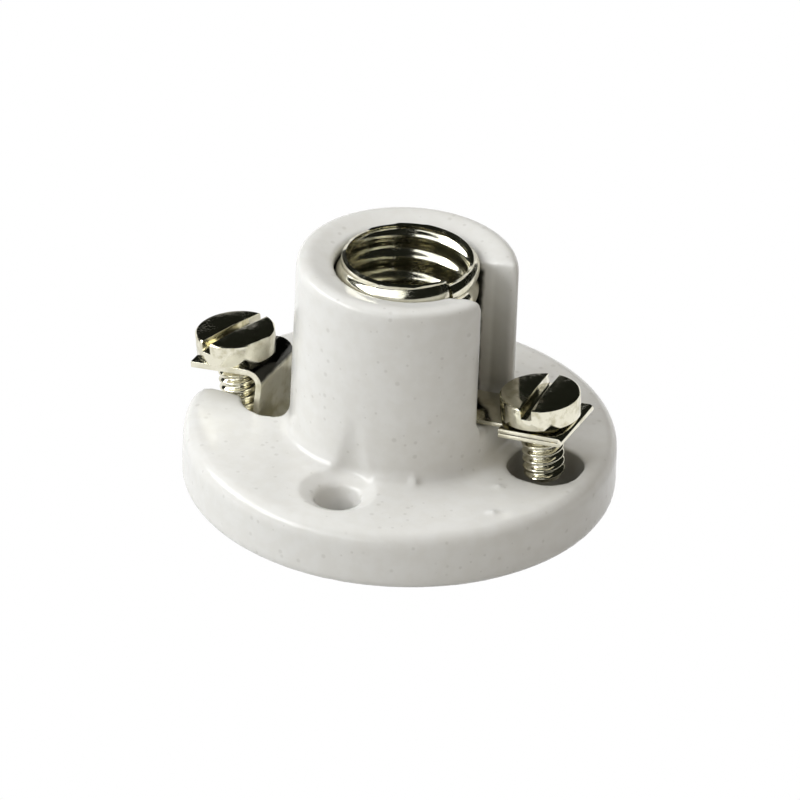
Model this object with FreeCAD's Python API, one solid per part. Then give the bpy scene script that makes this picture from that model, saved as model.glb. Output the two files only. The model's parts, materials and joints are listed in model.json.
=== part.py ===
"""Miniature porcelain lamp holder, screw socket E10, with two screw terminals.

Axes: +Z is the lamp axis, up. The origin is the centre of the mounting face.
+X points to the terminal of the threaded shell, -X to the terminal of the centre
contact, and the two fixing holes lie on the Y axis. All sizes are millimetres.
"""
import FreeCAD, Part
import math
import os

V = FreeCAD.Vector
Z_AXIS = V(0, 0, 1)
ORIGIN = V(0, 0, 0)

# Porcelain base disc
base_diameter = 31.0
base_top_diameter = 30.9
base_thickness = 4.25
base_edge_round = 1.1
base_heel_chamfer = 0.3

# Porcelain column with the socket in it
body_height = 17.8
column_foot_diameter = 15.9
column_top_diameter = 15.7
column_foot_fillet = 0.9
column_lip_round = 0.6
crown_land = 0.9
mouth_depth = 0.45
bore_clearance = 0.1
ledge_height = 7.2
well_diameter = 4.8
well_floor_height = 5.3

# Window in the column wall that lets the shell's strip out
slot_width = 5.6
slot_corner_round = 0.8
slot_edge_round = 0.35

# Fixing holes with a dished seat and clearance for the screw head
fixing_pitch = 20.7
fixing_hole_diameter = 3.3
fixing_dish_diameter = 5.6
fixing_dish_depth = 0.6
head_room_draft = 4.0

# Threaded shell, rolled from sheet
thread_major_diameter = 9.61
thread_minor_diameter = 8.77
thread_lip = 0.5
shell_sheet = 0.3
shell_top_rise = 0.2
shell_seam_angle = -48.0
shell_seam_gap = 0.3
shell_floor_opening = 4.9

# Terminal on the shell's strip
shell_terminal_width = 5.5
shell_terminal_tilt = 5.8
shell_strip_bend = 5.5
shell_terminal_inner_end = 8.75
shell_terminal_reach = 13.65
shell_screw_reach = 10.85
strip_side_clearance = 0.8
fold_gap = 0.06

# Centre contact strip
contact_sheet = 0.45
contact_terminal_width = 5.45
contact_terminal_tilt = 7.3
contact_plate_height = 7.05
contact_leg_reach = 9.95
contact_leg_lean = 0.35
contact_terminal_reach = 15.45
contact_screw_reach = 13.1
contact_bend_radius = 0.9
contact_run_width = 3.2
contact_shoulder_reach = 9.4

# Openings of the base under the terminals
leg_opening_centre = 9.4
leg_opening_width = 4.7
leg_opening_length = 7.2
notch_width = 3.8
notch_rim_round = 1.6
pocket_centre = 11.65
pocket_width = 4.66
pocket_length = 5.3
pocket_inner_reach = 8.7
pocket_floor = 0.9
channel_clearance = 0.3
channel_depth = 1.7

# Terminal screws
screw_diameter = 3.0
screw_length = 5.0
screw_tip_chamfer = 0.3
screw_head_diameter = 5.75
screw_head_height = 1.65
screw_head_chamfer = 0.12
screw_head_dome = 0.1
screw_slot_width = 0.8
screw_slot_depth = 0.9
shell_screw_lift = 0.3
shell_screw_slot_angle = 87.0
contact_screw_slot_angle = 79.0
screw_running_clearance = 0.05

# Rivets
rivet_hole_clearance = 0.05
centre_rivet_diameter = 2.0
centre_rivet_head_diameter = 3.4
centre_rivet_head_height = 1.1
centre_rivet_tail_diameter = 2.9
centre_rivet_tail_height = 0.5
shell_rivet_diameter = 1.2
shell_rivet_reach = 3.5
shell_rivet_head_diameter = 1.7
shell_rivet_head_height = 0.35
shell_rivet_tail_diameter = 1.9
shell_rivet_tail_height = 0.4
rivet_pocket_diameter = 2.6

# Sizes that follow from the ones above
minor_radius = thread_minor_diameter / 2
shell_outer_radius = thread_major_diameter / 2 + shell_sheet
bore_radius = shell_outer_radius + bore_clearance
shell_top = body_height + shell_top_rise
floor_sheet_top = ledge_height + shell_sheet
floor_sheet_middle = ledge_height + shell_sheet / 2
shell_plate_direction = V(math.cos(math.radians(shell_terminal_tilt)), 0,
                          math.sin(math.radians(shell_terminal_tilt)))
shell_plate_normal = V(-shell_plate_direction.z, 0, shell_plate_direction.x)
contact_plate_direction = V(-math.cos(math.radians(contact_terminal_tilt)), 0,
                            -math.sin(math.radians(contact_terminal_tilt)))
contact_plate_normal = V(contact_plate_direction.z, 0, -contact_plate_direction.x)


def rounded_wire(corners):
    """Closed wire in the XZ plane through (x, z, radius) corners, each rounded by its radius."""
    points = [V(x, 0, z) for x, z, radius in corners]
    starts, ends, middles = [], [], []
    for i, (x, z, radius) in enumerate(corners):
        corner = points[i]
        back = (points[i - 1] - corner).normalize()
        ahead = (points[(i + 1) % len(points)] - corner).normalize()
        half_angle = back.getAngle(ahead) / 2
        reach = radius / math.tan(half_angle) if radius else 0.0
        starts.append(corner + back * reach)
        ends.append(corner + ahead * reach)
        inward = (back + ahead).normalize() if radius else Z_AXIS
        middles.append(corner + inward * (radius / math.sin(half_angle) - radius))
    edges = []
    for i, (x, z, radius) in enumerate(corners):
        if radius:
            edges.append(Part.Arc(starts[i], middles[i], ends[i]).toShape())
        following = starts[(i + 1) % len(corners)]
        if ends[i].distanceToPoint(following) > 1e-6:
            edges.append(Part.makeLine(ends[i], following))
    return Part.Wire(edges)


def turned(corners, centre=ORIGIN):
    """Solid of revolution about the vertical axis through centre, from a rounded (r, z) profile."""
    solid = Part.Face(rounded_wire(corners)).revolve(ORIGIN, Z_AXIS, 360)
    solid.translate(centre)
    return solid


def obround(length, width, height, centre):
    """Upright prism with a slot-shaped plan, its length along Y."""
    straight = length - width
    bar = Part.makeBox(width, straight, height, centre + V(-width / 2, -straight / 2, 0))
    ends = [Part.makeCylinder(width / 2, height, centre + V(0, side * straight / 2, 0)) for side in (-1, 1)]
    return bar.multiFuse(ends).removeSplitter()


def bent_strip(route, sheet, width, bend_radius):
    """Sheet-metal strip whose middle line follows points of the XZ plane, bent at each one."""
    edges = []
    begin = route[0]
    for i in range(1, len(route) - 1):
        back = (route[i - 1] - route[i]).normalize()
        ahead = (route[i + 1] - route[i]).normalize()
        half_angle = back.getAngle(ahead) / 2
        reach = bend_radius / math.tan(half_angle)
        middle = route[i] + (back + ahead).normalize() * (bend_radius / math.sin(half_angle) - bend_radius)
        arc_start = route[i] + back * reach
        arc_end = route[i] + ahead * reach
        if begin.distanceToPoint(arc_start) > 1e-6:
            edges.append(Part.makeLine(begin, arc_start))
        edges.append(Part.Arc(arc_start, middle, arc_end).toShape())
        begin = arc_end
    edges.append(Part.makeLine(begin, route[-1]))
    across = (route[1] - route[0]).normalize().cross(V(0, 1, 0)) * (sheet / 2)
    side = V(0, width / 2, 0)
    corners = [route[0] + across + side, route[0] + across - side,
               route[0] - across - side, route[0] - across + side]
    section = Part.makePolygon(corners + corners[:1])
    return Part.Wire(edges).makePipeShell([section], True, False, 1)


def one_solid(shape):
    """The single solid of a boolean result; stops the build if there is more than one."""
    if len(shape.Solids) != 1:
        raise ValueError("expected one solid, got %d" % len(shape.Solids))
    return shape.Solids[0]


def porcelain_body():
    """One pressed and glazed piece: disc, column, socket bore, window and openings."""
    well_radius = well_diameter / 2
    body = turned([
        (0, 0, 0),
        (base_diameter / 2 - base_heel_chamfer, 0, 0),
        (base_diameter / 2, base_heel_chamfer, 0),
        (base_top_diameter / 2, base_thickness, base_edge_round),
        (column_foot_diameter / 2, base_thickness, column_foot_fillet),
        (column_top_diameter / 2, body_height, column_lip_round),
        (column_top_diameter / 2 - crown_land, body_height, 0),
        (bore_radius, body_height - mouth_depth, 0),
        (bore_radius, ledge_height, 0),
        (well_radius, ledge_height, 0),
        (well_radius, well_floor_height, 0),
        (0, well_floor_height, 0),
    ])
    body = one_solid(body.cut(column_window()))
    body = one_solid(body.makeFillet(slot_edge_round, window_edges(body)))
    for side in (-1, 1):
        body = body.cut(fixing_hole(V(0, side * fixing_pitch / 2, 0)))
    body = body.cut(leg_opening())
    body = body.cut(screw_pocket())
    body = body.cut(underside_channel())
    return one_solid(body)


def column_window():
    """Cutter for the window: a flat floor with rounded corners, open at the top."""
    half = slot_width / 2
    profile = rounded_wire([
        (-half, ledge_height, slot_corner_round),
        (half, ledge_height, slot_corner_round),
        (half, body_height + 1, 0),
        (-half, body_height + 1, 0),
    ])
    profile.rotate(ORIGIN, Z_AXIS, 90)
    return Part.Face(profile).extrude(V(base_diameter, 0, 0))


def window_edges(body):
    """The long outer edges and the crown edges that the window leaves on the column."""
    half = slot_width / 2
    found = []
    for edge in body.Edges:
        ends = [vertex.Point for vertex in edge.Vertexes]
        on_wall = all(abs(abs(point.y) - half) < 1e-4 for point in ends)
        outside = all(math.hypot(point.x, point.y) > bore_radius + 0.2 for point in ends)
        if len(ends) == 2 and on_wall and outside and edge.CenterOfMass.z > ledge_height + slot_corner_round:
            found.append(edge)
    return found


def fixing_hole(centre):
    """Cutter for one fixing hole: bore, dished seat and room for the screw head above it."""
    hole_radius = fixing_hole_diameter / 2
    dish_radius = fixing_dish_diameter / 2
    room_height = body_height + 1 - base_thickness
    room_top_radius = dish_radius - room_height * math.tan(math.radians(head_room_draft))
    return turned([
        (0, -1, 0),
        (hole_radius, -1, 0),
        (hole_radius, base_thickness - fixing_dish_depth, 0),
        (dish_radius, base_thickness, 0),
        (room_top_radius, body_height + 1, 0),
        (0, body_height + 1, 0),
    ], centre)


def leg_opening():
    """Cutter for the opening beside the column and the notch under the screw, open at the rim."""
    height = base_thickness + column_foot_fillet + 1.1
    opening = obround(leg_opening_length, leg_opening_width, height, V(-leg_opening_centre, 0, -1))
    opening = opening.cut(Part.makeCylinder(column_foot_diameter / 2, height, V(0, 0, -1)))
    half = notch_width / 2
    rim = base_diameter / 2
    notch = Part.makeBox(rim, notch_width, height, V(-leg_opening_centre - rim, -half, -1))
    return opening.fuse([notch] + notch_flares(height))


def screw_pocket():
    """Cutter for the blind pocket under the shell's terminal screw."""
    inner_centre = pocket_inner_reach + pocket_width / 2
    bridge = Part.makeBox(pocket_centre - inner_centre, pocket_length, base_thickness)
    bridge.translate(V(inner_centre, -pocket_length / 2, pocket_floor))
    ends = [obround(pocket_length, pocket_width, base_thickness, V(centre, 0, pocket_floor))
            for centre in (inner_centre, pocket_centre)]
    return bridge.fuse(ends)


def notch_flares(height):
    """Cutters that round the two corners where the notch meets the rim of the disc."""
    half = notch_width / 2
    radius = notch_rim_round
    rim = base_diameter / 2
    inner = rim - radius
    centre_y = half + radius
    centre_x = -math.sqrt(inner * inner - centre_y * centre_y)
    flares = []
    for side in (-1, 1):
        block = Part.makeBox(rim, radius, height, V(centre_x - rim, min(side * half, side * centre_y), -1))
        keep = Part.makeCylinder(radius, height, V(centre_x, side * centre_y, -1))
        touch = V(centre_x, side * centre_y, 0) * (rim / inner)
        outside = Part.makePolygon([
            V(centre_x, side * centre_y, -1),
            V(touch.x, touch.y, -1) + V(touch.x - centre_x, touch.y - side * centre_y, 0),
            V(centre_x, side * centre_y + side * rim, -1),
            V(centre_x, side * centre_y, -1),
        ])
        wedge = Part.Face(outside).extrude(V(0, 0, height))
        flares.append(block.cut(keep).cut(wedge))
    return flares


def underside_channel():
    """Cutter for the contact strip's channel, the rivet holes and the rivet pocket."""
    half = contact_run_width / 2 + channel_clearance
    cut_height = channel_depth + 1
    channel = Part.makeBox(leg_opening_centre, 2 * half, cut_height, V(-leg_opening_centre, -half, -1))
    rivet_place = V(shell_rivet_reach, 0, -1)
    return channel.fuse([
        Part.makeCylinder(half, cut_height, V(0, 0, -1)),
        Part.makeCylinder(centre_rivet_diameter / 2 + rivet_hole_clearance, ledge_height + 1),
        Part.makeCylinder(rivet_pocket_diameter / 2, cut_height, rivet_place),
        Part.makeCylinder(shell_rivet_diameter / 2 + rivet_hole_clearance, ledge_height + 2, rivet_place),
    ])


def rolled_tube():
    """Plain tube at the thread's outer size, its lip drawn in to the thread's inner size, and seamed."""
    lip_inner = minor_radius
    tube_inner = shell_outer_radius - shell_sheet
    lip_slope = tube_inner - lip_inner
    tube = turned([
        (tube_inner, ledge_height, 0),
        (shell_outer_radius, ledge_height, 0),
        (shell_outer_radius, shell_top - thread_lip - lip_slope, 0),
        (lip_inner + shell_sheet, shell_top - thread_lip, 0),
        (lip_inner + shell_sheet, shell_top, 0),
        (lip_inner, shell_top, 0),
        (lip_inner, shell_top - thread_lip, 0),
        (tube_inner, shell_top - thread_lip - lip_slope, 0),
    ])
    seam = Part.makeBox(base_diameter, shell_seam_gap, body_height, V(0, -shell_seam_gap / 2, floor_sheet_top))
    seam.rotate(ORIGIN, Z_AXIS, shell_seam_angle)
    return tube.cut(seam)


def threaded_shell():
    """Rolled socket shell with its floor, the strip through the window and the folded plate."""
    floor = Part.makeCylinder(shell_outer_radius, shell_sheet, V(0, 0, ledge_height))
    half_neck = slot_width / 2 - strip_side_clearance
    bend = V(shell_strip_bend, 0, floor_sheet_middle)
    fold_step = shell_sheet + fold_gap
    outer_end = bend + shell_plate_direction * (shell_terminal_reach - shell_sheet / 2 - shell_strip_bend)
    under_end = outer_end - shell_plate_normal * fold_step
    free_end = under_end - shell_plate_direction * (shell_terminal_reach - shell_terminal_inner_end)
    route = [V(shell_rivet_reach, 0, floor_sheet_middle), bend, outer_end, under_end, free_end]
    strip = bent_strip(route, shell_sheet, shell_terminal_width, fold_step / 2)
    for side in (-1, 1):
        waste = Part.makeBox(shell_terminal_inner_end, shell_terminal_width, body_height)
        waste.translate(V(0, half_neck if side > 0 else -half_neck - shell_terminal_width, 0))
        strip = strip.cut(waste)
    shell = rolled_tube().fuse([floor, strip])
    shell = shell.cut(Part.makeCylinder(shell_floor_opening / 2, 2, V(0, 0, ledge_height - 1)))
    rivet_hole_radius = shell_rivet_diameter / 2
    shell = shell.cut(Part.makeCylinder(rivet_hole_radius, 2, V(shell_rivet_reach, 0, ledge_height - 1)))
    return one_solid(shell.cut(tapped_hole(shell_screw_seat(), shell_plate_normal)))


def centre_contact():
    """Bent strip: terminal plate, leg beside the column and run under the base to the centre."""
    half_sheet = contact_sheet / 2
    bend = V(-contact_leg_reach, 0, contact_plate_height - half_sheet)
    tip = bend + contact_plate_direction * (contact_terminal_reach - contact_leg_reach)
    foot = V(-contact_leg_reach - contact_leg_lean, 0, channel_depth - half_sheet)
    run_end = V(0, 0, channel_depth - half_sheet)
    strip = bent_strip([tip, bend, foot, run_end], contact_sheet, contact_terminal_width, contact_bend_radius)
    half_run = contact_run_width / 2
    for side in (-1, 1):
        waste = Part.makeBox(base_diameter, contact_terminal_width, channel_depth + 0.1)
        waste.translate(V(-contact_shoulder_reach, half_run if side > 0 else -half_run - contact_terminal_width, 0))
        strip = strip.cut(waste)
    strip = strip.fuse(Part.makeCylinder(half_run, contact_sheet, V(0, 0, channel_depth - contact_sheet)))
    strip = strip.cut(Part.makeCylinder(centre_rivet_diameter / 2, channel_depth + 0.1))
    return one_solid(strip.cut(tapped_hole(contact_screw_seat(), contact_plate_normal)))


def shell_screw_seat():
    """Point on the top face of the shell's terminal plate where the screw head bears."""
    bend = V(shell_strip_bend, 0, floor_sheet_middle)
    along = shell_plate_direction * (shell_screw_reach - shell_strip_bend)
    return bend + along + shell_plate_normal * (shell_sheet / 2)


def contact_screw_seat():
    """Point on the top face of the centre contact's plate where the screw head bears."""
    half_sheet = contact_sheet / 2
    bend = V(-contact_leg_reach, 0, contact_plate_height - half_sheet)
    along = contact_plate_direction * (contact_screw_reach - contact_leg_reach)
    return bend + along + contact_plate_normal * half_sheet


def tapped_hole(seat, normal):
    """Cutter for the screw's hole through a terminal plate."""
    radius = screw_diameter / 2 + screw_running_clearance
    return Part.makeCylinder(radius, 2 * screw_length, seat - normal * screw_length, normal)


def terminal_screw(seat, normal, slot_angle):
    """Slotted cheese-head screw, under side of the head at seat and shank pointing against normal."""
    shank_radius = screw_diameter / 2
    head_radius = screw_head_diameter / 2
    screw = turned([
        (0, -screw_length, 0),
        (shank_radius - screw_tip_chamfer, -screw_length, 0),
        (shank_radius, -screw_length + screw_tip_chamfer, 0),
        (shank_radius, 0, 0),
        (head_radius, 0, 0),
        (head_radius, screw_head_height - screw_head_chamfer, 0),
        (head_radius - screw_head_chamfer, screw_head_height, 0),
        (0, screw_head_height + screw_head_dome, 0),
    ])
    top = screw_head_height + screw_head_dome
    slot = Part.makeBox(3 * head_radius, screw_slot_width, top, V(-1.5 * head_radius, -screw_slot_width / 2, 0))
    slot.translate(V(0, 0, top - screw_slot_depth))
    slot.rotate(ORIGIN, Z_AXIS, slot_angle)
    screw = one_solid(screw.cut(slot))
    tilt = math.degrees(math.atan2(normal.x, normal.z))
    screw.rotate(ORIGIN, V(0, 1, 0), tilt)
    screw.translate(seat)
    return screw


def centre_rivet():
    """Centre contact: domed head in the well, shank through the porcelain, closed tail below."""
    shank_radius = centre_rivet_diameter / 2
    head_radius = centre_rivet_head_diameter / 2
    tail_radius = centre_rivet_tail_diameter / 2
    strip_under = channel_depth - contact_sheet
    return turned([
        (0, strip_under - centre_rivet_tail_height, 0),
        (tail_radius - centre_rivet_tail_height / 2, strip_under - centre_rivet_tail_height, 0),
        (tail_radius, strip_under - centre_rivet_tail_height / 2, 0),
        (tail_radius, strip_under, 0),
        (shank_radius, strip_under, 0),
        (shank_radius, well_floor_height, 0),
        (head_radius, well_floor_height, 0),
        (head_radius, well_floor_height + centre_rivet_head_height / 2, 0),
        (head_radius - centre_rivet_head_height / 2, well_floor_height + centre_rivet_head_height, 0),
        (0, well_floor_height + centre_rivet_head_height, 0),
    ])


def shell_rivet():
    """Rivet that holds the shell's floor down on the ledge, closed in a pocket below."""
    shank_radius = shell_rivet_diameter / 2
    head_radius = shell_rivet_head_diameter / 2
    tail_radius = shell_rivet_tail_diameter / 2
    return turned([
        (0, channel_depth - shell_rivet_tail_height, 0),
        (tail_radius - shell_rivet_tail_height / 2, channel_depth - shell_rivet_tail_height, 0),
        (tail_radius, channel_depth - shell_rivet_tail_height / 2, 0),
        (tail_radius, channel_depth, 0),
        (shank_radius, channel_depth, 0),
        (shank_radius, floor_sheet_top, 0),
        (head_radius, floor_sheet_top, 0),
        (head_radius, floor_sheet_top + shell_rivet_head_height / 2, 0),
        (head_radius - shell_rivet_head_height / 2, floor_sheet_top + shell_rivet_head_height, 0),
        (0, floor_sheet_top + shell_rivet_head_height, 0),
    ], V(shell_rivet_reach, 0, 0))


pieces = {
    "porcelain_body": porcelain_body(),
    "threaded_shell": threaded_shell(),
    "shell_rivet": shell_rivet(),
    "centre_contact": centre_contact(),
    "centre_rivet": centre_rivet(),
    "shell_terminal_screw": terminal_screw(shell_screw_seat() + shell_plate_normal * shell_screw_lift,
                                           shell_plate_normal, shell_screw_slot_angle),
    "centre_terminal_screw": terminal_screw(contact_screw_seat(), contact_plate_normal,
                                            contact_screw_slot_angle),
}

os.makedirs("parts", exist_ok=True)
for name, shape in pieces.items():
    if not shape.isValid():
        raise ValueError(name + " is not a valid solid")
    shape.exportStep("parts/" + name + ".step")
    print(name, "volume", round(shape.Volume, 3), "box", shape.BoundBox)
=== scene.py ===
"""Photograph view of a miniature porcelain lamp holder with an E10 screw socket.

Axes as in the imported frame, in metres: +Z is the lamp axis, +X points to the terminal of the
threaded shell, and the fixing holes lie on the Y axis.
"""
import math
import json

import bmesh
import bpy
from mathutils import Matrix, Vector


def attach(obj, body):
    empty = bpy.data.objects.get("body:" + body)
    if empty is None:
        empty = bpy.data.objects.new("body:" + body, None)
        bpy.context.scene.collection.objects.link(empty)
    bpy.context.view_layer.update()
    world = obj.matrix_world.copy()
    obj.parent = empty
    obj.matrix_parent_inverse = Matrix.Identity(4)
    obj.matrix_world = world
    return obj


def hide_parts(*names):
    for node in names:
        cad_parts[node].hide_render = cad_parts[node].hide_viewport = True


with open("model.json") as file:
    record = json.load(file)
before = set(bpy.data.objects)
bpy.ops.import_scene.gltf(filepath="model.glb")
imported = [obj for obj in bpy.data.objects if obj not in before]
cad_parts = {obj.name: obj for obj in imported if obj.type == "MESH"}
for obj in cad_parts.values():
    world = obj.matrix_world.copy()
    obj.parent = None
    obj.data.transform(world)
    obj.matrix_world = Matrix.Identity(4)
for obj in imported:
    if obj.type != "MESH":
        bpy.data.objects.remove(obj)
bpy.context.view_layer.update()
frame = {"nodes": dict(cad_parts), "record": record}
nodes = frame["nodes"]
joints = {joint["name"]: joint for joint in frame["record"]["behaviour"]["joints"]}
MM = 0.001
scene = bpy.context.scene


# Camera. It looks down at thirty-one degrees with the shell's terminal to the right, through a
# long lens from far away, and it leans slightly to one side.
camera_place = Vector((203.062, -452.694, 302.732)) * MM
camera_target = Vector((-1.234, 2.436, 4.565)) * MM
camera_lens_mm = 366.19
camera_sensor_mm = 36.0
camera_lean = math.radians(2.49)
camera_nearest = 5 * MM

camera_data = bpy.data.cameras.new("photo_camera")
camera_data.lens = camera_lens_mm
camera_data.sensor_width = camera_sensor_mm
camera_data.clip_start = camera_nearest
camera = bpy.data.objects.new("photo_camera", camera_data)
scene.collection.objects.link(camera)
aim = (camera_target - camera_place).to_track_quat("-Z", "Y").to_matrix().to_4x4()
camera.matrix_world = Matrix.Translation(camera_place) @ aim @ Matrix.Rotation(camera_lean, 4, "Z")
scene.camera = camera


# Studio. A white table in a white room, both plain white to the camera and to mirrors, with soft
# windows from the left and the front, and a dark ceiling over the table that only polished metal
# sees. From below the table is clear, so that the underside shows.
paper_white = (1.0, 1.0, 1.0, 1.0)
room_tone = (0.62, 0.56, 0.47, 1.0)
room_strength = 0.1
table_tone = (0.62, 0.62, 0.61, 1.0)
table_half_size = 1.2
table_gap = 0.02 * MM
ceiling_tone = (0.012, 0.013, 0.010, 1.0)
ceiling_wide = 900 * MM
ceiling_narrow = 120 * MM
ceiling_low = 110 * MM
ceiling_high = 620 * MM
ceiling_sides = 48
facing_down = -0.9
lamp_width = 300 * MM
lamp_height = 110 * MM
lamp_aim = Vector((0, 0, 8)) * MM
daylight = (0.98, 1.0, 1.0)
warm_card = (1.0, 0.93, 0.80)


def plain_shader(tree, kind, colour):
    """Output of a shader node in one colour."""
    node = tree.nodes.new(kind)
    node.inputs["Color"].default_value = colour
    return node.outputs[0]


def white_where_seen(tree, surface, white):
    """Blend a surface with plain white for rays that come from the camera, a mirror or glass."""
    rays = tree.nodes.new("ShaderNodeLightPath")
    seen = rays.outputs["Is Camera Ray"]
    for kind in ("Is Glossy Ray", "Is Transmission Ray"):
        either = tree.nodes.new("ShaderNodeMath")
        either.operation = "MAXIMUM"
        tree.links.new(seen, either.inputs[0])
        tree.links.new(rays.outputs[kind], either.inputs[1])
        seen = either.outputs[0]
    blend = tree.nodes.new("ShaderNodeMixShader")
    tree.links.new(seen, blend.inputs[0])
    tree.links.new(surface, blend.inputs[1])
    tree.links.new(white, blend.inputs[2])
    return blend.outputs[0]


def stage_finish(name):
    """Empty material of the studio, its node tree and the socket of its surface."""
    material = bpy.data.materials.new(name)
    material.use_nodes = True
    tree = material.node_tree
    tree.nodes.clear()
    return material, tree, tree.nodes.new("ShaderNodeOutputMaterial").inputs["Surface"]


def stage_piece(name, mesh_bm, material):
    """Object of the studio made from a bmesh, outside the holder."""
    mesh = bpy.data.meshes.new(name)
    mesh_bm.to_mesh(mesh)
    mesh_bm.free()
    mesh.materials.append(material)
    piece = bpy.data.objects.new(name, mesh)
    scene.collection.objects.link(piece)
    return piece


def soft_lamp(name, place_mm, watts, tint, in_reflections):
    """Wide, low area lamp that looks from its place towards the middle of the holder."""
    lamp_data = bpy.data.lights.new(name, "AREA")
    lamp_data.shape = "RECTANGLE"
    lamp_data.size = lamp_width
    lamp_data.size_y = lamp_height
    lamp_data.energy = watts
    lamp_data.color = tint
    lamp = bpy.data.objects.new(name, lamp_data)
    place = Vector(place_mm) * MM
    direction = (lamp_aim - place).to_track_quat("-Z", "Y")
    lamp.matrix_world = Matrix.Translation(place) @ direction.to_matrix().to_4x4()
    lamp.visible_glossy = in_reflections
    scene.collection.objects.link(lamp)


world = bpy.data.worlds.new("white_room")
scene.world = world
world.use_nodes = True
room_tree = world.node_tree
room_tree.nodes.clear()
room_light = plain_shader(room_tree, "ShaderNodeBackground", room_tone)
room_light.node.inputs["Strength"].default_value = room_strength
room_white = plain_shader(room_tree, "ShaderNodeBackground", paper_white)
room_surface = room_tree.nodes.new("ShaderNodeOutputWorld").inputs["Surface"]
room_tree.links.new(white_where_seen(room_tree, room_light, room_white), room_surface)

table_paper, table_tree, table_surface = stage_finish("table_paper")
table_diffuse = plain_shader(table_tree, "ShaderNodeBsdfDiffuse", table_tone)
table_glow = plain_shader(table_tree, "ShaderNodeEmission", paper_white)
table_clear = plain_shader(table_tree, "ShaderNodeBsdfTransparent", paper_white)
table_side = table_tree.nodes.new("ShaderNodeNewGeometry")
table_two_sides = table_tree.nodes.new("ShaderNodeMixShader")
table_tree.links.new(table_side.outputs["Backfacing"], table_two_sides.inputs[0])
table_tree.links.new(white_where_seen(table_tree, table_diffuse, table_glow), table_two_sides.inputs[1])
table_tree.links.new(table_clear, table_two_sides.inputs[2])
table_tree.links.new(table_two_sides.outputs[0], table_surface)

table_bm = bmesh.new()
bmesh.ops.create_grid(table_bm, x_segments=1, y_segments=1, size=table_half_size)
bmesh.ops.translate(table_bm, verts=table_bm.verts, vec=(0, 0, -table_gap))
stage_piece("white_table", table_bm, table_paper)

ceiling_cloth, ceiling_tree, ceiling_surface = stage_finish("ceiling_cloth")
ceiling_tree.links.new(plain_shader(ceiling_tree, "ShaderNodeEmission", ceiling_tone), ceiling_surface)

ceiling_bm = bmesh.new()
bmesh.ops.create_cone(ceiling_bm, cap_ends=True, segments=ceiling_sides, radius1=ceiling_wide,
                      radius2=ceiling_narrow, depth=ceiling_high - ceiling_low)
bmesh.ops.translate(ceiling_bm, verts=ceiling_bm.verts, vec=(0, 0, (ceiling_high + ceiling_low) / 2))
lower_cap = [face for face in ceiling_bm.faces if face.normal.z < facing_down]
bmesh.ops.delete(ceiling_bm, geom=lower_cap, context="FACES_ONLY")
dark_ceiling = stage_piece("dark_ceiling", ceiling_bm, ceiling_cloth)
dark_ceiling.visible_camera = False
dark_ceiling.visible_diffuse = False
dark_ceiling.visible_shadow = False
dark_ceiling.visible_transmission = False

soft_lamp("window_left", (-210, -112, 150), watts=0.57, tint=daylight, in_reflections=True)
soft_lamp("window_front", (-60, -250, 150), watts=0.17, tint=daylight, in_reflections=True)
soft_lamp("lamp_above", (-40, 20, 290), watts=0.41, tint=daylight, in_reflections=False)
soft_lamp("card_right", (230, -120, 150), watts=0.13, tint=warm_card, in_reflections=False)
soft_lamp("card_back", (-60, 230, 150), watts=0.10, tint=warm_card, in_reflections=False)

scene.view_settings.view_transform = "Standard"


# Porcelain body. One pressed and fired piece, white with a faint grey cast, with fine dark
# specks and pimples in the glaze, which rounds every edge as it melts.
glaze_white = (0.80, 0.79, 0.77, 1.0)
glaze_cloud = (0.775, 0.762, 0.735, 1.0)
speck_grey = (0.42, 0.40, 0.36, 1.0)
speck_grey_strength = 0.25
speck_dark = (0.16, 0.14, 0.11, 1.0)
speck_dark_strength = 0.35
glaze_roughness = 0.14
glaze_roughness_range = 0.16
ripple_depth = 0.035 * MM
pimple_depth = 0.06 * MM
pimple_places = ((9.77, -4.46, 4.22, 0.3), (10.87, -7.82, 4.22, 0.3), (4.40, -7.05, 4.50, 0.27))
glaze_voxel = 0.21 * MM
glaze_flow = 0.5
glaze_flow_passes = 6
same_point = 0.0005 * MM


def merged_copy(node):
    """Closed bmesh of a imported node, its loose triangles merged."""
    copy = bmesh.new()
    copy.from_mesh(nodes[node].data)
    bmesh.ops.remove_doubles(copy, verts=copy.verts, dist=same_point)
    for face in copy.faces:
        face.smooth = True
    return copy


def finished_piece(name, piece_bm, material, body, node, smooth_angle=None):
    """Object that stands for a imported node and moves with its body."""
    mesh = bpy.data.meshes.new(name)
    piece_bm.to_mesh(mesh)
    piece_bm.free()
    mesh.materials.append(material)
    piece = bpy.data.objects.new(name, mesh)
    scene.collection.objects.link(piece)
    if smooth_angle:
        mesh.set_sharp_from_angle(angle=math.radians(smooth_angle))
    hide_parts(node)
    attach(piece, body)
    return piece


def shader_group(name, numbers, results):
    """Node group with a vector input, number inputs with their defaults, and number outputs."""
    group = bpy.data.node_groups.new(name, "ShaderNodeTree")
    group.interface.new_socket(name="Vector", in_out="INPUT", socket_type="NodeSocketVector")
    for label, value in numbers.items():
        socket = group.interface.new_socket(name=label, in_out="INPUT", socket_type="NodeSocketFloat")
        socket.default_value = value
    for label in results:
        group.interface.new_socket(name=label, in_out="OUTPUT", socket_type="NodeSocketFloat")
    return group, group.nodes.new("NodeGroupInput").outputs, group.nodes.new("NodeGroupOutput").inputs


def join(tree, source, target):
    """Link an output to an input, or write a plain value on it."""
    if isinstance(source, bpy.types.NodeSocket):
        tree.links.new(source, target)
    else:
        target.default_value = source


def maths(tree, operation, *values):
    """Output of a Math node."""
    node = tree.nodes.new("ShaderNodeMath")
    node.operation = operation
    for place, value in enumerate(values):
        join(tree, value, node.inputs[place])
    return node.outputs[0]


def product(tree, first, *others):
    """Output that multiplies all its values together."""
    for other in others:
        first = maths(tree, "MULTIPLY", first, other)
    return first


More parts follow.
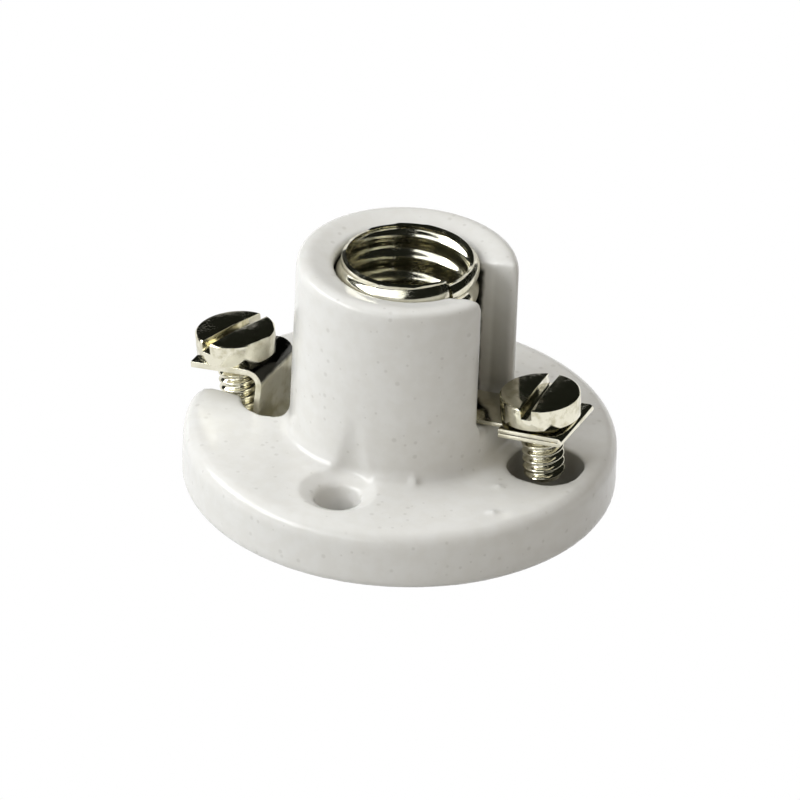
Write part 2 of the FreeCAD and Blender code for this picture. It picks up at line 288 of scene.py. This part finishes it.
def ramp(tree, value, low, high):
    """Smooth step from 0 where value is low to 1 where it is high."""
    node = tree.nodes.new("ShaderNodeMapRange")
    node.interpolation_type = "SMOOTHSTEP"
    join(tree, value, node.inputs["Value"])
    join(tree, low, node.inputs["From Min"])
    join(tree, high, node.inputs["From Max"])
    return node.outputs["Result"]


def blend_colour(tree, share, first, second):
    """Colour that goes from first to second as share goes from 0 to 1."""
    node = tree.nodes.new("ShaderNodeMix")
    node.data_type = "RGBA"
    join(tree, share, node.inputs["Factor"])
    join(tree, first, node.inputs["A"])
    join(tree, second, node.inputs["B"])
    return node.outputs["Result"]


def noise(tree, vector, scale, detail):
    """Noise value of about half, with lumps of one over scale metres."""
    node = tree.nodes.new("ShaderNodeTexNoise")
    join(tree, vector, node.inputs["Vector"])
    join(tree, scale, node.inputs["Scale"])
    node.inputs["Detail"].default_value = detail
    return node.outputs["Fac"]


def relief(tree, height, depth, normal=None):
    """Normal of a bumped surface; height runs from 0 to 1 and depth is in metres."""
    node = tree.nodes.new("ShaderNodeBump")
    node.inputs["Distance"].default_value = depth
    join(tree, height, node.inputs["Height"])
    if normal:
        tree.links.new(normal, node.inputs["Normal"])
    return node.outputs["Normal"]


def axes_of(tree, vector):
    """The three outputs X, Y and Z of a place."""
    node = tree.nodes.new("ShaderNodeSeparateXYZ")
    tree.links.new(vector, node.inputs[0])
    return [node.outputs[axis] for axis in "XYZ"]


def place_group(tree, group, vector, **numbers):
    """Output of a group placed in a material with its own values."""
    node = tree.nodes.new("ShaderNodeGroup")
    node.node_tree = group
    tree.links.new(vector, node.inputs["Vector"])
    for label, value in numbers.items():
        join(tree, value, node.inputs[label])
    return node.outputs[0]


def new_finish(name):
    """Material with its node tree, shader and object coordinates."""
    material = bpy.data.materials.new(name)
    material.use_nodes = True
    tree = material.node_tree
    coordinates = tree.nodes.new("ShaderNodeTexCoord").outputs["Object"]
    return material, tree, tree.nodes["Principled BSDF"], coordinates


# Spots: round marks in some of the cells of a loose grid, each of its own size.
spot_least_size = 0.4
spot_full_share = 0.35
spots, spot_in, spot_out = shader_group(
    "scattered_spots", {"Scale": 1000.0, "Share": 0.3, "Size": 0.2}, ["Mask"])
cells = spots.nodes.new("ShaderNodeTexVoronoi")
spots.links.new(spot_in["Vector"], cells.inputs["Vector"])
spots.links.new(spot_in["Scale"], cells.inputs["Scale"])
chances = spots.nodes.new("ShaderNodeSeparateColor")
spots.links.new(cells.outputs["Color"], chances.inputs["Color"])
chosen = maths(spots, "LESS_THAN", chances.outputs["Red"], spot_in["Share"])
reach = product(spots, maths(spots, "ADD", chances.outputs["Green"], spot_least_size), spot_in["Size"])
inner_reach = product(spots, reach, spot_full_share)
spot_mask = product(spots, ramp(spots, cells.outputs["Distance"], reach, inner_reach), chosen)
spots.links.new(spot_mask, spot_out["Mask"])

# Mottling: uneven cloudy patches between a low and a high level of the noise.
mottle, mottle_in, mottle_out = shader_group(
    "cloudy_mottle", {"Scale": 300.0, "Low": 0.4, "High": 0.6}, ["Mask"])
clouds = noise(mottle, mottle_in["Vector"], mottle_in["Scale"], detail=3.0)
mottle.links.new(ramp(mottle, clouds, mottle_in["Low"], mottle_in["High"]), mottle_out["Mask"])

glaze, glaze_tree, glaze_shader, glaze_place = new_finish("glazed_porcelain")
clouding = place_group(glaze_tree, mottle, glaze_place, Scale=900.0, Low=0.35, High=0.65)
grey_specks = place_group(glaze_tree, spots, glaze_place, Scale=1500.0, Share=0.4, Size=0.27)
dark_specks = place_group(glaze_tree, spots, glaze_place, Scale=230.0, Share=0.10, Size=0.045)
pimples = place_group(glaze_tree, spots, glaze_place, Scale=170.0, Share=0.25, Size=0.07)
grey_specks = product(glaze_tree, grey_specks, speck_grey_strength)
dark_specks = product(glaze_tree, dark_specks, speck_dark_strength)
glaze_tint = blend_colour(glaze_tree, clouding, glaze_white, glaze_cloud)
glaze_tint = blend_colour(glaze_tree, grey_specks, glaze_tint, speck_grey)
glaze_tint = blend_colour(glaze_tree, dark_specks, glaze_tint, speck_dark)

# The bore is painted near black round the shell: painted shade of the gap between shell and porcelain. Each
# pair gives where the painted band begins and where it is full:
# out from the lamp axis, down from the mouth and up from the well.
bore_shade_grey = (0.06, 0.058, 0.05, 1.0)
bore_shade_out = (5.75 * MM, 5.45 * MM)
bore_shade_down = (17.0 * MM, 16.5 * MM)
bore_shade_up = (4.5 * MM, 5.0 * MM)
bore_shade_wander = 0.35 * MM

glaze_x, glaze_y, glaze_z = axes_of(glaze_tree, glaze_place)
across = maths(glaze_tree, "POWER", glaze_x, 2.0)
along = maths(glaze_tree, "POWER", glaze_y, 2.0)
from_axis = maths(glaze_tree, "SQRT", maths(glaze_tree, "ADD", across, along))
wobble = product(glaze_tree, noise(glaze_tree, glaze_place, scale=900.0, detail=2.0), bore_shade_wander)
bore_shaded = ramp(glaze_tree, maths(glaze_tree, "ADD", from_axis, wobble), *bore_shade_out)
below_mouth = ramp(glaze_tree, glaze_z, *bore_shade_down)
above_well = ramp(glaze_tree, glaze_z, *bore_shade_up)
bore_shaded = product(glaze_tree, bore_shaded, below_mouth, above_well)
# Blend the painted shade of the gap into the glaze.
glaze_tint = blend_colour(glaze_tree, bore_shaded, glaze_tint, bore_shade_grey)

# Painted shade in the window beside the strip and in the pocket under the terminal, darker lower
# down. Each pair gives where it begins and where it is full.
recess_shade_olive = (0.25, 0.24, 0.20, 1.0)
recess_shade_side = (2.95 * MM, 2.75 * MM)
recess_shade_bore = (5.3 * MM, 5.7 * MM)
recess_shade_outer = (14.35 * MM, 14.2 * MM)
recess_shade_floor = (0.3 * MM, 0.6 * MM)
window_outside = (8.3 * MM, 8.1 * MM)
window_sill = (6.4 * MM, 7.4 * MM)
pocket_rim = (4.15 * MM, 3.9 * MM)
recess_shade_deepens = (18.0 * MM, 8.0 * MM)
recess_shade_least = 0.2
recess_shade_gain = 0.35

from_middle = maths(glaze_tree, "ABSOLUTE", glaze_y)
in_window = product(glaze_tree, ramp(glaze_tree, glaze_x, *window_outside),
                    ramp(glaze_tree, glaze_z, *window_sill))
in_pocket = ramp(glaze_tree, glaze_z, *pocket_rim)
recess_shade = product(glaze_tree, ramp(glaze_tree, from_middle, *recess_shade_side),
                ramp(glaze_tree, glaze_x, *recess_shade_bore), ramp(glaze_tree, glaze_x, *recess_shade_outer),
                maths(glaze_tree, "MAXIMUM", in_window, in_pocket), ramp(glaze_tree, glaze_z, *recess_shade_floor))
deeper = maths(glaze_tree, "MULTIPLY_ADD", ramp(glaze_tree, glaze_z, *recess_shade_deepens), recess_shade_gain, recess_shade_least)
# Blend the painted shade of the window and pocket into the glaze.
glaze_tint = blend_colour(glaze_tree, product(glaze_tree, recess_shade, deeper), glaze_tint, recess_shade_olive)
glaze_tree.links.new(glaze_tint, glaze_shader.inputs["Base Color"])

gloss = maths(glaze_tree, "MULTIPLY_ADD", noise(glaze_tree, glaze_place, scale=450.0, detail=3.0),
              glaze_roughness_range, glaze_roughness)
glaze_tree.links.new(gloss, glaze_shader.inputs["Roughness"])
glaze_skin = relief(glaze_tree, noise(glaze_tree, glaze_place, scale=650.0, detail=2.0), ripple_depth)
glaze_skin = relief(glaze_tree, pimples, pimple_depth, glaze_skin)
glaze_tree.links.new(glaze_skin, glaze_shader.inputs["Normal"])

body_bm = merged_copy("porcelain_body")
for pimple_x, pimple_y, pimple_z, pimple_radius in pimple_places:
    pimple = bmesh.ops.create_icosphere(body_bm, subdivisions=3, radius=pimple_radius * MM)
    bmesh.ops.translate(body_bm, verts=pimple["verts"],
                        vec=Vector((pimple_x, pimple_y, pimple_z)) * MM)
porcelain = finished_piece("glazed_body", body_bm, glaze, "holder", "porcelain_body")
clay = porcelain.modifiers.new("clay", "REMESH")
clay.mode = "VOXEL"
clay.voxel_size = glaze_voxel
clay.use_smooth_shade = True
flow = porcelain.modifiers.new("glaze_flow", "SMOOTH")
flow.factor = glaze_flow
flow.iterations = glaze_flow_passes


# Threaded shell. Thin nickel-plated brass sheet, rolled to a lamp thread and butted at a seam,
# with its floor, the strip out of the window and the terminal plate folded double in one piece.
nickel_tone = (0.81, 0.78, 0.65, 1.0)
nickel_tarnish = (0.46, 0.42, 0.25, 1.0)
lamp_pitch = 1.814 * MM
lamp_mean_radius = 4.595 * MM
lamp_wave = 0.21 * MM
lamp_crest_height = 16.413 * MM
shell_sheet = 0.3 * MM
shell_lip_radius = 4.385 * MM
shell_foot_radius = 4.805 * MM
shell_low = 7.5 * MM
shell_high = 18.0 * MM
shell_fade = 0.4 * MM
shell_lap = 0.05 * MM
shell_strip_starts = 5.2 * MM
seam_angle = math.radians(-28.0)
seam_half_gap = 0.15 * MM / shell_foot_radius
rim_rise = 0.5 * MM
rim_reach = 1.6 * MM
rows_per_turn = 14
steps_per_turn = 112
full_turn = 2 * math.pi
on_plane = 1e-9
sliver_share = 0.2
flat_angle = math.radians(0.5)
sheet_smooth_angle = 40


def helical_wall(radius_at, pitch, low, high, rows, steps, start, sweep):
    """Screw-shaped wall: a wavy upright line spun about Z while it rises one pitch a turn."""
    wall = bmesh.new()
    row = pitch / rows
    count = math.ceil((high - low + pitch) / row) + 2
    line = []
    for i in range(count):
        height = low - pitch - row + i * row
        radius = radius_at(height / pitch - start / full_turn)
        line.append(wall.verts.new((radius * math.cos(start), radius * math.sin(start), height)))
    edges = [wall.edges.new(pair) for pair in zip(line, line[1:])]
    bmesh.ops.spin(wall, geom=line + edges, cent=(0, 0, 0), axis=(0, 0, 1), angle=sweep, steps=steps,
                   dvec=(0, 0, pitch * sweep / full_turn / steps))
    bmesh.ops.remove_doubles(wall, verts=wall.verts, dist=same_point)
    for level, upward in ((low, -1), (high, 1)):
        bmesh.ops.bisect_plane(wall, geom=wall.verts[:] + wall.edges[:] + wall.faces[:], dist=on_plane,
                               plane_co=(0, 0, level), plane_no=(0, 0, upward), clear_outer=True)
    bmesh.ops.remove_doubles(wall, verts=wall.verts, dist=row * sliver_share)
    bmesh.ops.recalc_face_normals(wall, faces=wall.faces)
    for face in wall.faces:
        face.smooth = True
    return wall


def fade_radius(wall, level, reach, target):
    """Draw a round wall smoothly to the target radius over its last stretch before a level."""
    for vert in wall.verts:
        share = 1 - abs(vert.co.z - level) / reach
        if share > 0:
            radius = vert.co.xy.length
            share = share * share * (3 - 2 * share)
            vert.co.xy *= (radius + (target - radius) * share) / radius


def slope_rim(wall, level, reach, rise, start):
    """Let the rim climb once round from the seam, so that the sheet ends in a small step there."""
    for vert in wall.verts:
        share = 1 - (level - vert.co.z) / reach
        if share > 0:
            turned = (math.atan2(vert.co.y, vert.co.x) - start) % full_turn / full_turn
            vert.co.z += min(1.0, share) * rise * (turned - 0.5)


def join_meshes(first, second):
    """Add the second bmesh to the first as a further shell of the same piece."""
    carried = bpy.data.meshes.new("carried")
    second.to_mesh(carried)
    second.free()
    first.from_mesh(carried)
    bpy.data.meshes.remove(carried)


def cut_open(piece_bm, geom, height, upward):
    """Cut away what lies beyond a level plane, and close the cut."""
    cut = bmesh.ops.bisect_plane(piece_bm, geom=geom, dist=on_plane, plane_co=(0, 0, height),
                                 plane_no=(0, 0, upward), clear_outer=True)
    cut_edges = [edge for edge in cut["geom_cut"] if isinstance(edge, bmesh.types.BMEdge)]
    bmesh.ops.holes_fill(piece_bm, edges=cut_edges, sides=0)


def soften_edges(piece_bm, least_angle, width):
    """Merge flat facets of a packed copy and round its sharp edges."""
    bmesh.ops.dissolve_limit(piece_bm, angle_limit=flat_angle, verts=piece_bm.verts,
                             edges=piece_bm.edges)
    sharp = [edge for edge in piece_bm.edges
             if edge.is_manifold and edge.calc_face_angle() > math.radians(least_angle)]
    bmesh.ops.bevel(piece_bm, geom=sharp, offset=width, offset_type="OFFSET", segments=2, profile=0.5,
                    affect="EDGES", clamp_overlap=True, material=-1)


# Handling marks: short fine scratches that run one way in patches.
scratch_tilt = (0.3, 0.2, 0.7)
scratch_thinness = (1.0, 14.0, 14.0)
stroke_width = (0.03, 0.0)
patch_levels = (0.45, 0.7)
scratches, scratch_in, scratch_out = shader_group("handling_scratches", {"Scale": 400.0}, ["Mask"])
scratch_turn = scratches.nodes.new("ShaderNodeMapping")
scratch_turn.inputs["Rotation"].default_value = scratch_tilt
scratch_turn.inputs["Scale"].default_value = scratch_thinness
scratches.links.new(scratch_in["Vector"], scratch_turn.inputs["Vector"])
strokes = noise(scratches, scratch_turn.outputs["Vector"], scratch_in["Scale"], detail=1.0)
strokes = maths(scratches, "ABSOLUTE", maths(scratches, "SUBTRACT", strokes, 0.5))
strokes = ramp(scratches, strokes, *stroke_width)
patches = noise(scratches, scratch_in["Vector"], scratch_in["Scale"], detail=2.0)
patches = ramp(scratches, patches, *patch_levels)
scratches.links.new(product(scratches, strokes, patches), scratch_out["Mask"])

# Plating: how strong and how rough its tarnish, pits and marks are.
tarnish_levels = (0.42, 0.72)
pit_strength = 0.5
pit_depth = -0.0015 * MM
polish_roughness = 0.09
tarnish_roughness = 0.12
mark_roughness = 0.25
skin_coarseness = 0.8


def plated_finish(name, bright, dull, dull_share, patch_scale, unevenness):
    """Polished plating with cloudy tarnish, small dark pits, scratches and a slightly uneven skin."""
    material, tree, shader, place = new_finish(name)
    low, high = tarnish_levels
    tarnish = place_group(tree, mottle, place, Scale=patch_scale, Low=low, High=high)
    pits = place_group(tree, spots, place, Scale=2600.0, Share=0.10, Size=0.16)
    marks = place_group(tree, scratches, place, Scale=500.0)
    tint = blend_colour(tree, product(tree, tarnish, dull_share), bright, dull)
    tint = blend_colour(tree, product(tree, pits, pit_strength), tint, dull)
    tree.links.new(tint, shader.inputs["Base Color"])
    shader.inputs["Metallic"].default_value = 1.0
    rough = maths(tree, "MULTIPLY_ADD", tarnish, tarnish_roughness, polish_roughness)
    rough = maths(tree, "ADD", rough, product(tree, marks, mark_roughness))
    tree.links.new(rough, shader.inputs["Roughness"])
    skin = relief(tree, noise(tree, place, patch_scale * skin_coarseness, detail=2.0), unevenness)
    skin = relief(tree, maths(tree, "ADD", pits, marks), pit_depth, skin)
    tree.links.new(skin, shader.inputs["Normal"])
    return material


def lamp_thread(turn):
    """Radius of the shell's inner face, where turn counts pitches up from height zero."""
    crest = lamp_crest_height / lamp_pitch
    return lamp_mean_radius - lamp_wave * math.cos(full_turn * (turn - crest))


shell_wall = helical_wall(lamp_thread, lamp_pitch, shell_low, shell_high, rows_per_turn, steps_per_turn,
                          start=seam_angle + seam_half_gap, sweep=full_turn - 2 * seam_half_gap)
fade_radius(shell_wall, shell_high, shell_fade, shell_lip_radius)
fade_radius(shell_wall, shell_low, shell_fade, shell_foot_radius)
slope_rim(shell_wall, shell_high, rim_reach, rim_rise, seam_angle)
bmesh.ops.solidify(shell_wall, geom=shell_wall.faces[:], thickness=-shell_sheet)

nickel = plated_finish("nickel_plating", nickel_tone, nickel_tarnish, dull_share=0.45, patch_scale=900.0,
                       unevenness=0.008 * MM)

strip_bm = merged_copy("threaded_shell")
tube_faces = [face for face in strip_bm.faces
              if all(vert.co.xy.length < shell_strip_starts for vert in face.verts)]
tube_geom = list({vert for face in tube_faces for vert in face.verts})
tube_geom += list({edge for face in tube_faces for edge in face.edges}) + tube_faces
cut_open(strip_bm, tube_geom, shell_low + shell_lap, 1)
soften_edges(strip_bm, least_angle=30, width=0.04 * MM)
join_meshes(shell_wall, strip_bm)
finished_piece("rolled_shell", shell_wall, nickel, "holder", "threaded_shell",
               sheet_smooth_angle)


# Shell rivet. A small brass rivet that holds the shell's floor down on the porcelain ledge; it
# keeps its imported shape.
nodes["shell_rivet"].data.materials.clear()
nodes["shell_rivet"].data.materials.append(nickel)


# Centre contact. Thicker nickel-plated strip: terminal plate, leg beside the column and a run
# under the base; its sheared edges are slightly rounded. Its bend is painted near black, a painted dark
# reflection, and its leg is dull.
bend_painted_dark = (0.035, 0.034, 0.028, 1.0)
bend_low = 6.0 * MM
bend_high = 6.4 * MM
bend_outer = -11.2 * MM
bend_inner = -10.7 * MM
painted_dark_side = 2.69 * MM
painted_dark_soft = 0.04 * MM
painted_dark_wander = 0.3 * MM
leg_dullness = 0.22

strip_nickel = plated_finish("nickel_strip", nickel_tone, nickel_tarnish, dull_share=0.45,
                             patch_scale=900.0, unevenness=0.008 * MM)
strip_tree = strip_nickel.node_tree
strip_shader = strip_tree.nodes["Principled BSDF"]
strip_place = strip_tree.nodes["Texture Coordinate"].outputs["Object"]
strip_x, strip_y, strip_z = axes_of(strip_tree, strip_place)
uneven = product(strip_tree, noise(strip_tree, strip_place, scale=900.0, detail=1.0), painted_dark_wander)
by_column = ramp(strip_tree, maths(strip_tree, "ADD", strip_x, uneven), bend_outer, bend_inner)
above = ramp(strip_tree, maths(strip_tree, "ADD", strip_z, uneven), bend_low, bend_high)
below = ramp(strip_tree, strip_z, bend_high, bend_low)
from_centre = maths(strip_tree, "ABSOLUTE", strip_y)
off_edges = ramp(strip_tree, from_centre, painted_dark_side, painted_dark_side - painted_dark_soft)
painted_dark_bend = product(strip_tree, by_column, above, off_edges)
dulled = product(strip_tree, by_column, below, leg_dullness)
plain_tint = strip_shader.inputs["Base Color"].links[0].from_socket
plain_rough = strip_shader.inputs["Roughness"].links[0].from_socket
# Paint the bend near black as a painted dark reflection.
strip_tint = blend_colour(strip_tree, painted_dark_bend, plain_tint, bend_painted_dark)
strip_tree.links.new(strip_tint, strip_shader.inputs["Base Color"])
strip_tree.links.new(maths(strip_tree, "ADD", plain_rough, dulled), strip_shader.inputs["Roughness"])

contact_bm = merged_copy("centre_contact")
soften_edges(contact_bm, least_angle=30, width=0.06 * MM)
finished_piece("centre_strip", contact_bm, strip_nickel, "holder", "centre_contact",
               sheet_smooth_angle)


# Centre rivet. Joins that strip to the middle of the porcelain, and its dome is the button that
# the lamp touches.
nodes["centre_rivet"].data.materials.clear()
nodes["centre_rivet"].data.materials.append(nickel)


# Terminal screws. Two zinc-plated cheese-head screws with a fine rolled thread, standing in the
# tapped plates.
zinc_tone = (0.81, 0.78, 0.64, 1.0)
zinc_dull = (0.42, 0.38, 0.23, 1.0)
screw_pitch = 0.62 * MM
screw_radius = 1.5 * MM
screw_root_radius = 1.2 * MM
screw_flank_slope = 2.6
screw_crest_flat = 0.2
screw_length = 5.0 * MM
screw_tip = 0.35 * MM
screw_tip_bevel = 0.3 * MM
screw_head_low = -0.1 * MM
screw_shank_high = -0.05 * MM
screw_rows = 10
screw_steps = 48
screw_smooth_angle = 40

zinc = plated_finish("zinc_plating", zinc_tone, zinc_dull, dull_share=0.55, patch_scale=1300.0,
                     unevenness=0.005 * MM)


def screw_thread(turn):
    """Radius of the rolled thread: flat crest, sloped flanks and a rounded root."""
    flank = min(1.0, max(0.0, screw_flank_slope * abs((turn % 1.0) - 0.5) - screw_crest_flat))
    return screw_radius - (screw_radius - screw_root_radius) * flank


def terminal_screw(name, node, body, turn):
    """Cheese-head screw: packed head with softened edges, turned in its place, and a threaded shank."""
    joint = joints[body + "_turn"]
    axis = Vector(joint["axis"])
    to_seat = Matrix.Translation(joint["pos_m"]) @ axis.to_track_quat("Z", "Y").to_matrix().to_4x4()
    head = merged_copy(node)
    bmesh.ops.transform(head, matrix=to_seat.inverted(), verts=head.verts)
    cut_open(head, head.verts[:] + head.edges[:] + head.faces[:], screw_head_low, -1)
    soften_edges(head, least_angle=25, width=0.05 * MM)
    shank = helical_wall(screw_thread, screw_pitch, -screw_length, screw_shank_high, screw_rows,
                         screw_steps, start=0.0, sweep=full_turn)
    for vert in shank.verts:
        depth = (-screw_length + screw_tip - vert.co.z) / screw_tip
        if depth > 0:
            limit = screw_radius - screw_tip_bevel * depth
            vert.co.xy *= min(1.0, limit / vert.co.xy.length)
    ends = [edge for edge in shank.edges if edge.is_boundary]
    bmesh.ops.holes_fill(shank, edges=ends, sides=0)
    bmesh.ops.recalc_face_normals(shank, faces=shank.faces)
    join_meshes(head, shank)
    turned = Matrix.Rotation(math.radians(turn), 3, "Z")
    bmesh.ops.rotate(head, verts=head.verts, cent=(0, 0, 0), matrix=turned)
    bmesh.ops.transform(head, matrix=to_seat, verts=head.verts)
    finished_piece(name, head, zinc, body, node, screw_smooth_angle)


terminal_screw("right_screw", "shell_terminal_screw", "shell_screw", turn=6.5)
terminal_screw("left_screw", "centre_terminal_screw", "centre_screw", turn=-10.0)
